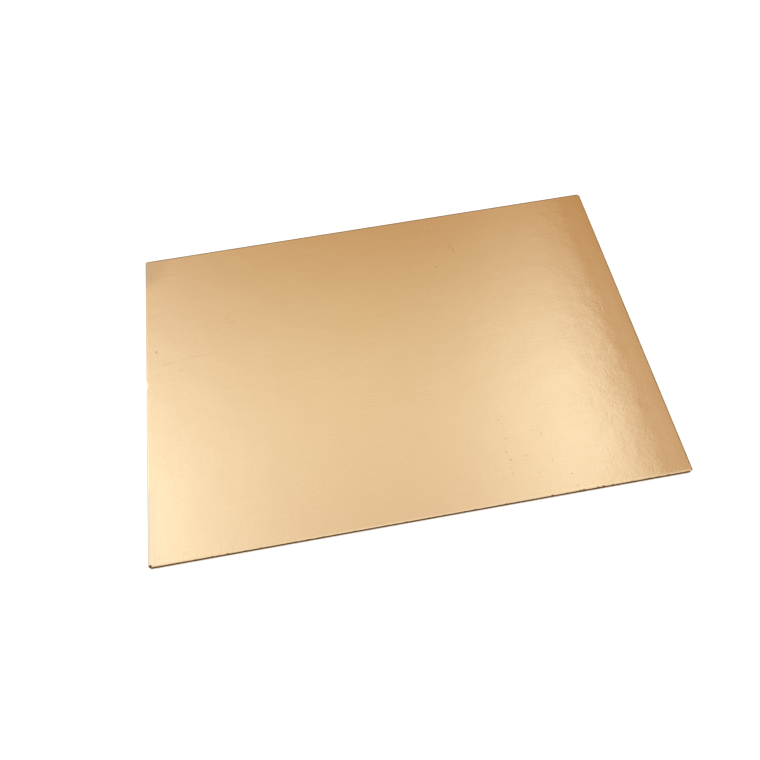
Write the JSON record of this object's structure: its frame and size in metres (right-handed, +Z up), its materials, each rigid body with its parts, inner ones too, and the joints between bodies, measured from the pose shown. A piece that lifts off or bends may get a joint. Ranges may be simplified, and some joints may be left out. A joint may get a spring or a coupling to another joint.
{
  "type": "copper clad board",
  "caption": "Flat rectangular laminate blank with a rigid ochre base and a thin copper foil over its whole top face, for etched or milled circuits.",
  "frame": {"origin": "middle of the underside, which lies flat on the floor", "axes": "+X along the long side, +Y along the short side, +Z up out of the copper face"},
  "size_m": [0.15, 0.1, 0.0016],
  "materials": {
    "laminate": "satin",
    "copper": "satin"
  },
  "bodies": {
    "root": {"laminate_base": "laminate", "copper_foil": "copper"}
  },
  "joints": []
}
